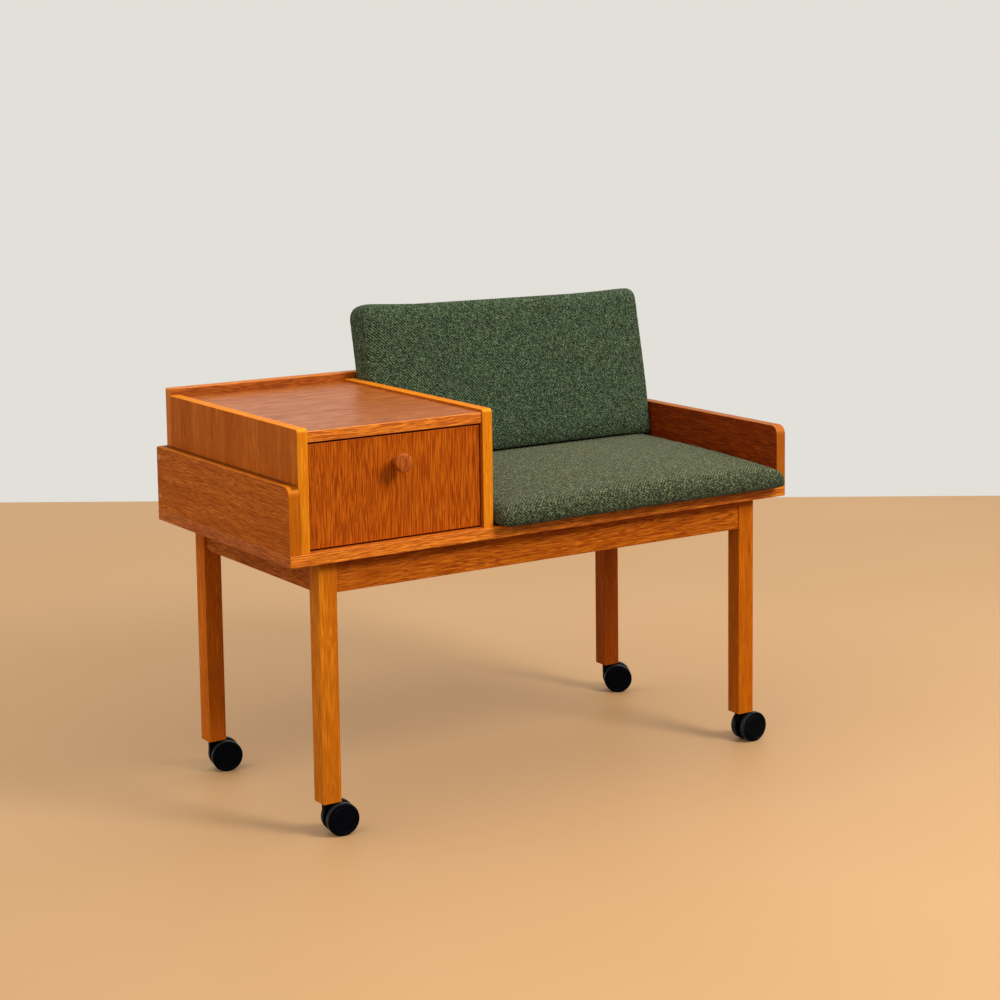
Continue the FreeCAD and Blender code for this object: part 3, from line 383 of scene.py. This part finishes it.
def metal_material(name, colour, rough):
    graph = Finish(name)
    wear = graph.noise(graph.here, 700.0, 3.0, 0.6)
    return graph.surface({
        "Base Color": graph.ramp(wear, ((0.25, scaled(colour, 0.75)), (0.8, colour))),
        "Metallic": 1.0, "Roughness": graph.step(wear, 0.2, 0.8, rough + 0.1, rough - 0.05),
        "Normal": graph.bump(wear, 0.1, 0.0001)})


# Finishes of the CAD nodes
def dress(material, *names):
    for name in names:
        slots = nodes[name].data.materials
        slots.clear()
        slots.append(material)


ORANGE = (222, 128, 20)
BOX_SIDE = dict(edges=(FRONT, UP), edge_grain="Z", edge_mean=ORANGE, bands=0.9, streak=0.4,
                pores=0.3, gloss=0.04)
dress(wood_material("board_teak", "X", (206, 108, 26), 1.0, (LEFT, RIGHT), "Y",
                    (172, 84, 22), edge_streak=1.0, edge_pores=1.0), "seat_board")
# the left panel gets a painted shade on its side facing the box and a painted shadow on its
# top beside the box
dress(wood_material("left_panel_teak", "Y", (182, 92, 22), 2.0, (FRONT, UP), "Z",
                    (190, 99, 12), gloss=0.05, streak=0.6, bands=0.9, pores=0.9,
                    shaded_toward=RIGHT, shadowed_span=(-0.455, -0.450)), "low_panel_left")
dress(wood_material("right_panel_teak", "Y", (128, 45, 2), 3.0, (FRONT, UP, RIGHT), "Y",
                    (166, 87, 16)), "low_panel_right")
dress(wood_material("box_side_left_teak", "Z", (178, 89, 22), 4.4, **BOX_SIDE),
      "box_side_left")
dress(wood_material("box_side_right_teak", "Z", (178, 89, 22), 5.4, **BOX_SIDE),
      "box_side_right")
dress(wood_material("back_board_teak", "X", (158, 76, 18), 6.2, (UP, LEFT, RIGHT), "X",
                    (196, 104, 26)), "back_board")
dress(wood_material("box_top_teak", "X", (169, 89, 30), 7.1, (FRONT,), "X",
                    (208, 110, 26), rough=0.36, gloss=0.24, bands=0.9, pores=0.8,
                    edge_streak=1.1, edge_pores=0.9), "box_top")
dress(wood_material("drawer_front_teak", "Z", (168, 75, 8), 8.6, streak=1.3, pores=0.4,
                    gloss=0.05), "drawer_front")
dress(wood_material("knob_teak", "Z", (168, 80, 22), 9.5, streak=1.2, pores=0.4,
                    wear=0.0), "drawer_knob")
LEG_TONES = {"front_left": (196, 105, 14), "front_right": (188, 95, 9),
             "rear_left": (198, 98, 14), "rear_right": (148, 64, 8)}
for number, (corner, mean) in enumerate(LEG_TONES.items()):
    dress(wood_material("leg_%s_teak" % corner, "Z", mean, 10.0 + number, bands=0.6,
                        streak=0.45, pores=0.1, gloss=0.06), "leg_" + corner)
APRON_GRAINS = {"front": "X", "back": "X", "left": "Y", "right": "Y"}
for number, (side, grain) in enumerate(APRON_GRAINS.items()):
    dress(wood_material("apron_%s_teak" % side, grain, (176, 86, 14), 15.0 + number,
                        streak=0.9, pores=1.1, gloss=0.06), "apron_" + side)
birch = {grain: wood_material("birch_along_" + grain.lower(), grain, (212, 182, 140), 20.0,
                              rough=0.55, streak=0.35, pores=0.2) for grain in "XY"}
dress(birch["Y"], "drawer_side_left", "drawer_side_right", "drawer_bottom",
      "drawer_runner_left", "drawer_runner_right")
dress(birch["X"], "drawer_back", *["corner_block_" + corner for corner in CASTOR_ANGLES])
dress(metal_material("screw_metal", srgb(206, 160, 122), 0.3), "knob_screw",
      *["panel_screw_%s_%s" % (side, level) for side in ("left", "right")
        for level in ("low", "high")])
castor_metal = metal_material("castor_metal", srgb(190, 192, 196), 0.28)
castor_black = plastic_material("castor_black")
for corner, angle in CASTOR_ANGLES.items():
    turn = math.radians(angle)
    wheel_black = plastic_material("wheel_black_" + corner,
                                   (-math.sin(turn), math.cos(turn), 0.0))
    dress(castor_metal, "castor_sleeve_" + corner, "castor_stem_" + corner,
          "castor_axle_" + corner)
    dress(castor_black, "castor_body_" + corner)
    dress(wheel_black, "castor_wheel_%s_a" % corner, "castor_wheel_%s_b" % corner)


# Soft shapes
CORNER_STEPS = 6                    # chords of a rounded corner
POINT_GAP = 4.0 * MM                # about so far apart along a straight side
END_SHARES = (0.03, 0.12, 0.28, 0.5, 0.75, 1.0)     # places along a rolled end
SPANS = 40                          # spans between the two rolled ends
VOXEL = 0.0055                      # cell of the remesh
PRESSURE = 4.0
STRETCH, SHEAR, BEND = 18, 8, 1.5   # stiffness of the cloth
SIM_FRAMES = 20
FADE = 5 * MM                       # past a plane's end it lets go over this length
LOFTY = 9.0                         # a height that no plane ends at


def rounded(points, radii, bulges):
    """Points along a polygon with rounded corners; bulges lift the sides outwards."""
    count = len(points)
    arcs = []
    for i, corner in enumerate(points):
        before = (points[i - 1] - corner).normalized()
        after = (points[(i + 1) % count] - corner).normalized()
        opening = before.angle(after)
        inward = (before + after).normalized()
        centre = corner + inward * (radii[i] / math.sin(opening / 2))
        start = corner + before * (radii[i] / math.tan(opening / 2))
        first = math.atan2(start.y - centre.y, start.x - centre.x)
        arc = []
        for k in range(CORNER_STEPS + 1):
            a = first + (math.pi - opening) * k / CORNER_STEPS
            arc.append(centre + Vector((math.cos(a), math.sin(a))) * radii[i])
        arcs.append(arc)
    line = []
    for i in range(count):
        line += arcs[i]
        start, end = arcs[i][-1], arcs[(i + 1) % count][0]
        way = end - start
        out = Vector((way.y, -way.x)).normalized()
        steps = max(2, int(way.length / POINT_GAP))
        for k in range(1, steps):
            share = k / steps
            rise = bulges[i] * 4 * share * (1 - share)
            line.append(start + way * share + out * rise)
    return line


def rolled(radius, inset):
    """How far a roll of that radius lies below the full size, at an inset from the end."""
    return radius - math.sqrt(radius * radius - (radius - min(inset, radius)) ** 2)


def resampled(line, count):
    """The closed line as count evenly spaced points, from its first one."""
    lengths = [0.0]
    for i in range(len(line)):
        lengths.append(lengths[-1] + (line[(i + 1) % len(line)] - line[i]).length)
    out, k = [], 0
    for i in range(count):
        wanted = lengths[-1] * i / count
        while lengths[k + 1] < wanted:
            k += 1
        share = (wanted - lengths[k]) / (lengths[k + 1] - lengths[k])
        out.append(line[k].lerp(line[(k + 1) % len(line)], share))
    return out


def placed(name, made):
    """An object in the scene with the mesh that was made."""
    mesh = bpy.data.meshes.new(name)
    made.to_mesh(mesh)
    made.free()
    item = bpy.data.objects.new(name, mesh)
    scene.collection.objects.link(item)
    return item


def apply_modifiers(piece):
    bpy.context.view_layer.update()
    evaluated = piece.evaluated_get(bpy.context.evaluated_depsgraph_get())
    made = bpy.data.meshes.new_from_object(evaluated)
    old = piece.data
    piece.modifiers.clear()
    piece.data = made
    bpy.data.meshes.remove(old)


def lofted(name, left, right, section, around, roll):
    """A closed cushion from left to right through section(inset, crown), where inset is
    the way in from the nearer end, and crown rises from 0 at the ends to 1 between."""
    width = right - left
    near = [roll * share for share in END_SHARES]
    inner = [roll + (width - 2 * roll) * k / SPANS for k in range(1, SPANS)]
    made = bmesh.new()
    rings = []
    for place in near + inner + [width - inset for inset in reversed(near)]:
        inset = min(place, width - place)
        crown = 1 - (2 * place / width - 1) ** 2
        line = resampled(section(inset, crown), around)
        rings.append([made.verts.new((left + place, p.x, p.y)) for p in line])
    for one, two in zip(rings, rings[1:]):
        for i in range(around):
            j = (i + 1) % around
            made.faces.new((one[i], one[j], two[j], two[i]))
    for ring in (rings[0], rings[-1]):
        made.faces.new(ring)
    bmesh.ops.recalc_face_normals(made, faces=made.faces)
    return placed(name, made)


def remeshed(piece):
    """Even cells, so that the cloth moves alike everywhere."""
    remesh = piece.modifiers.new("Remesh", "REMESH")
    remesh.mode = "VOXEL"
    remesh.voxel_size = VOXEL
    remesh.use_smooth_shade = True
    apply_modifiers(piece)


def puffed(piece, cap):
    """Blows the piece up as cloth, with no point moving further than cap."""
    rest = [vertex.co.copy() for vertex in piece.data.vertices]
    cloth = piece.modifiers.new("Cloth", "CLOTH")
    cloth.settings.quality = 6
    cloth.settings.use_pressure = True
    cloth.settings.uniform_pressure_force = PRESSURE
    cloth.settings.tension_stiffness = STRETCH
    cloth.settings.compression_stiffness = STRETCH
    cloth.settings.shear_stiffness = SHEAR
    cloth.settings.bending_stiffness = BEND
    cloth.settings.effector_weights.gravity = 0
    cloth.point_cache.frame_start = 1
    cloth.point_cache.frame_end = SIM_FRAMES
    for frame_number in range(1, SIM_FRAMES + 1):
        scene.frame_set(frame_number)
    apply_modifiers(piece)
    scene.frame_set(1)
    for vertex, before in zip(piece.data.vertices, rest):
        move = vertex.co - before
        if move.length > cap:
            vertex.co = before + move.normalized() * cap


def soft_body(name, left, right, section, around, roll, cap):
    piece = lofted(name, left, right, section, around, roll)
    remeshed(piece)
    puffed(piece, cap)
    return piece


def settle(piece, planes, free_front=-LOFTY):
    """Pushes the points back inside the planes (point, outward normal, height).  A plane
    ends at its height, and above it the fabric bulges over the edge.  A plane that faces
    right ends at free_front too, and the fabric bulges in front of it."""
    for vertex in piece.data.vertices:
        for point, normal, height in planes:
            over = (vertex.co - point).dot(normal)
            if over > 0:
                past = (vertex.co.z - height) / FADE
                if normal.x > 0:
                    past = max(past, (free_front - vertex.co.y) / FADE)
                past = min(1.0, max(0.0, past))
                vertex.co -= normal * over * (1 - past * past * (3 - 2 * past))


def smoothed(piece):
    for polygon in piece.data.polygons:
        polygon.use_smooth = True


# Where the cushions' neighbours are
board_low, board_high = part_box("seat_board")
FRONT_Y, BOARD_TOP = board_low.y, board_high.z
REAR_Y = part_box("back_board")[0].y
seat_low, seat_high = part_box("seat_cushion")
back_low, back_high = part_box("back_cushion")
box_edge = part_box("box_side_right")[1]
panel_low, panel_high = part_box("low_panel_right")


def on_board(line):
    """A section's points, measured from the board's front top edge, in the frame."""
    return [Vector((p.x + FRONT_Y, p.y + BOARD_TOP)) for p in line]


# Seat cushion
SEAT_ROLL = 15 * MM
SEAT_OVER = 5 * MM                  # past the solid on the right
SEAT_CAP = 3.5 * MM                 # the most that the cloth puffs up
SEAT_POINTS = 220
SEAT_FRONT = -29.5 * MM             # it juts out in front of the board
SEAT_REAR_GAP = 1.5 * MM
SEAT_FOOT = 0.8 * MM
NOSE_HEIGHT, NOSE_CROWN = 28, 7     # the front's height and its rise halfway, in mm
REAR_HEIGHT, REAR_CROWN = 41, 2.2
SEAT_LEVEL = 342 * MM               # from here back its top is level
TOP_BULGE, TOP_CROWN = 3, 7.5       # the sloping top's bulge and its rise, in mm


def seat_section(inset, crown):
    drop = rolled(SEAT_ROLL, inset)
    nose = (NOSE_HEIGHT + NOSE_CROWN * crown) * MM - drop
    rear = (REAR_HEIGHT + REAR_CROWN * crown) * MM - drop
    front = SEAT_FRONT + drop * 0.6
    back_line = REAR_Y - FRONT_Y - SEAT_REAR_GAP - drop * 0.3
    foot = SEAT_FOOT + drop * 0.25
    upper = min(27 * MM, (nose - foot) * 0.76)
    lower = min(6 * MM, (nose - foot) * 0.2)
    corners = [Vector((front, foot)), Vector((back_line, foot)), Vector((back_line, rear)),
               Vector((SEAT_LEVEL, rear)), Vector((front, nose))]
    return on_board(rounded(corners, (lower, 3 * MM, 8 * MM, 30 * MM, upper),
                            (0, 0, 0, (TOP_BULGE + TOP_CROWN * crown) * MM, 0.5 * MM)))


# Back cushion, leaning on the top edge of the back board
LEAN = math.radians(11.42)
BACK_ROLL, BACK_CORNER_ROLL, BACK_FOOT_ROLL = 14 * MM, 18 * MM, 12 * MM
BACK_LEFT_OVER, BACK_RIGHT_OVER = 10 * MM, 12 * MM      # past the solid
BACK_CAP = 5 * MM
BACK_POINTS = 150
BACK_FOOT = 44.6 * MM
BACK_START = 41.5 * MM     # the cloth draws in, and is then pressed flat on the seat
BACK_THICK = 57.0 * MM
BACK_TOP = 306.0 * MM
BOARD_EDGE = 192 * MM      # the back board's top edge above the board
FOOT_LINE = (REAR_Y - FRONT_Y - 1.0 * MM - math.tan(LEAN) * (BOARD_EDGE - BACK_FOOT)
             - BACK_THICK / math.cos(LEAN))
TILT = -0.0098      # the photographed back cushion sits a little higher on its left


def back_section(inset, crown):
    drop = rolled(BACK_ROLL, inset)
    corner = rolled(BACK_CORNER_ROLL, inset)
    along = Vector((math.sin(LEAN), math.cos(LEAN)))
    across = Vector((math.cos(LEAN), -math.sin(LEAN)))
    foot = BACK_START + rolled(BACK_FOOT_ROLL, inset)
    front_foot = Vector((FOOT_LINE, BACK_FOOT)) + across * drop
    front_foot = front_foot + along * ((foot - BACK_FOOT) / along.y)
    front_top = front_foot + along * ((BACK_TOP - corner - foot) / along.y)
    thick = BACK_THICK - 1.6 * drop
    rear_foot = front_foot + across * thick
    rear_foot = rear_foot + along * ((foot - rear_foot.y) / along.y)
    rear_top = front_top + across * thick
    lower = min(9 * MM, thick * 0.25)
    upper = min(14 * MM, thick * 0.42)
    return on_board(rounded([front_foot, rear_foot, rear_top, front_top],
                            (lower, lower, upper, upper),
                            (0, 0, 1.0 * MM, (1 + 3 * crown) * MM)))


seat = soft_body("seat_cushion_fabric", seat_low.x, seat_high.x + SEAT_OVER, seat_section,
                 SEAT_POINTS, SEAT_ROLL, SEAT_CAP)
rest = soft_body("back_cushion_fabric", back_low.x - BACK_LEFT_OVER,
                 back_high.x + BACK_RIGHT_OVER, back_section, BACK_POINTS, BACK_ROLL,
                 BACK_CAP)
middle = (back_low.x + back_high.x) / 2
for vertex in rest.data.vertices:
    share = (vertex.co.z - back_low.z) / (back_high.z - back_low.z)
    vertex.co.z += TILT * share * (vertex.co.x - middle)

# The cushions pressed back on their neighbours
GAP, BACK_SIDE_GAP = 0.3 * MM, 0.5 * MM
down = Vector((0, 0, -1))
settle(seat, ((Vector((0, 0, BOARD_TOP + GAP)), down, LOFTY),
              (Vector((box_edge.x + GAP, 0, 0)), Vector((-1, 0, 0)), LOFTY),
              (Vector((panel_low.x - GAP, 0, 0)), Vector((1, 0, 0)), LOFTY),
              (Vector((0, REAR_Y - GAP, 0)), Vector((0, 1, 0)), LOFTY)), FRONT_Y - 1 * MM)
lean_out = Vector((0, math.cos(LEAN), -math.sin(LEAN)))
edge_point = Vector((0, REAR_Y - GAP, BOARD_TOP + BOARD_EDGE - 0.5 * MM))
settle(rest, ((Vector((0, 0, BOARD_TOP + BACK_FOOT)), down, LOFTY),
              (edge_point, lean_out, LOFTY),
              (Vector((box_edge.x + BACK_SIDE_GAP, 0, 0)), Vector((-1, 0, 0)), box_edge.z),
              (Vector((panel_low.x - BACK_SIDE_GAP, 0, 0)), Vector((1, 0, 0)),
               panel_high.z)))
for vertex in seat.data.vertices:
    # the back cushion presses the seat flat under its foot
    if vertex.co.y > FRONT_Y + FOOT_LINE - 4 * MM:
        vertex.co.z = min(vertex.co.z, BOARD_TOP + BACK_FOOT - GAP)

# the seat's upright front gets a painted shade, the back cushion none
seat_tweed = fabric_material("seat_tweed", srgb(66, 73, 52), lean=0.0, sheen=0.34,
                             nubs=640.0, painted_front_shade=0.5)
back_tweed = fabric_material("back_tweed", srgb(60, 75, 56), lean=LEAN, sheen=0.15,
                             nubs=820.0, painted_front_shade=0.0)
for piece, node, material in ((seat, "seat_cushion", seat_tweed),
                              (rest, "back_cushion", back_tweed)):
    smoothed(piece)
    finer = piece.modifiers.new("Subdivision", "SUBSURF")
    finer.levels = finer.render_levels = 1
    apply_modifiers(piece)
    piece.data.materials.clear()
    piece.data.materials.append(material)
    smoothed(piece)
    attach(piece, "bench")
    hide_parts(node)


# Camera, as fitted to the photograph's edges
YAW, PITCH, ROLL = (math.radians(a) for a in (-35.41, 7.34, -0.39))
EYE = Vector((-1.9018, -3.0279, 1.1228))
SENSOR = 36.0
FOCAL_PIXELS, PHOTO_PIXELS = 2238.26, 1000
view_way = Vector((-math.sin(YAW) * math.cos(PITCH), math.cos(YAW) * math.cos(PITCH),
                   -math.sin(PITCH)))
right_way = Vector((math.cos(YAW), math.sin(YAW), 0.0))
up_way = right_way.cross(view_way)
right_turned = right_way * math.cos(ROLL) + up_way * math.sin(ROLL)
up_turned = up_way * math.cos(ROLL) - right_way * math.sin(ROLL)
camera_data = bpy.data.cameras.new("camera")
camera_data.sensor_width = SENSOR
camera_data.lens = SENSOR * FOCAL_PIXELS / PHOTO_PIXELS
camera_data.shift_x = -0.10838
camera_data.shift_y = -0.14316
camera = bpy.data.objects.new("camera", camera_data)
camera.matrix_world = Matrix((
    (right_turned.x, up_turned.x, -view_way.x, EYE.x),
    (right_turned.y, up_turned.y, -view_way.y, EYE.y),
    (right_turned.z, up_turned.z, -view_way.z, EYE.z), (0, 0, 0, 1)))
scene.collection.objects.link(camera)
scene.camera = camera


def seen(graph):
    """1 for what the camera looks at, also in a mirror or through glass."""
    path = graph.whole("LightPath").outputs
    return graph.largest([path["Is %s Ray" % kind]
                          for kind in ("Camera", "Glossy", "Transmission")])


# Floor.  It ends where the photograph's wall stands, square to the camera.
WALL_AWAY = 5.8
FLOOR_WIDE, FLOOR_DEEP = 5.0, 4.0   # half of its width and of its depth
flat_view = Vector((view_way.x, view_way.y, 0)).normalized()
floor_centre = Vector((EYE.x, EYE.y, 0)) + flat_view * (WALL_AWAY - FLOOR_DEEP)
floor_mesh = bmesh.new()
floor_mesh.faces.new([
    floor_mesh.verts.new(Matrix.Rotation(YAW, 4, "Z") @ Vector((x, y, 0)) + floor_centre)
    for x, y in ((-FLOOR_WIDE, -FLOOR_DEEP), (FLOOR_WIDE, -FLOOR_DEEP),
                 (FLOOR_WIDE, FLOOR_DEEP), (-FLOOR_WIDE, FLOOR_DEEP))])
floor = placed("floor", floor_mesh)
pale = Finish("floor_pale")
floor_colour = pale.ramp(pale.noise(pale.here, 1.2),
                         ((0.3, srgb(193, 151, 105)), (0.7, srgb(197, 155, 110))))
# what the camera sees keeps its colour, and the light that the floor throws back is weak
floor.data.materials.append(pale.surface({
    "Base Color": pale.mix(seen(pale), srgb(118, 96, 74), floor_colour),
    "Roughness": 0.55, "Specular IOR Level": 0.3}))

# The room lights the bench mostly from the ceiling and from a window on the left, while
# the camera sees one even wall.
ROOM = srgb(226, 224, 217)
HORIZON, ZENITH, WINDOW = 0.09, 1.6, 1.0
world = bpy.data.worlds.new("soft_room")
scene.world = world
world.use_nodes = True
room = Graph(world.node_tree)
sideways, _, upwards = room.split(room.whole("TexCoord").outputs["Generated"])
ceiling = room.step(upwards, 0.05, 0.85, HORIZON, ZENITH)
window = room.step(sideways, -0.3, -0.95, 0.0, WINDOW)
level = room.blend(seen(room), room.math("ADD", ceiling, window), 1.0)
room.whole("OutputWorld", {"Surface": room.node("Background", {0: ROOM, 1: level})})


def area_light(name, place, target, size, power, colour):
    data = bpy.data.lights.new(name, "AREA")
    data.shape = "DISK"
    data.size = size
    data.energy = power
    data.color = colour
    item = bpy.data.objects.new(name, data)
    item.location = place
    item.rotation_euler = (Vector(target) - Vector(place)).to_track_quat("-Z", "Y").to_euler()
    scene.collection.objects.link(item)


area_light("key", place=(1.1, -2.7, 2.6), target=(0, 0, 0.45), size=1.2, power=92.0,
           colour=(1.0, 0.97, 0.92))

scene.view_settings.view_transform = "Standard"
scene.view_settings.look = "None"
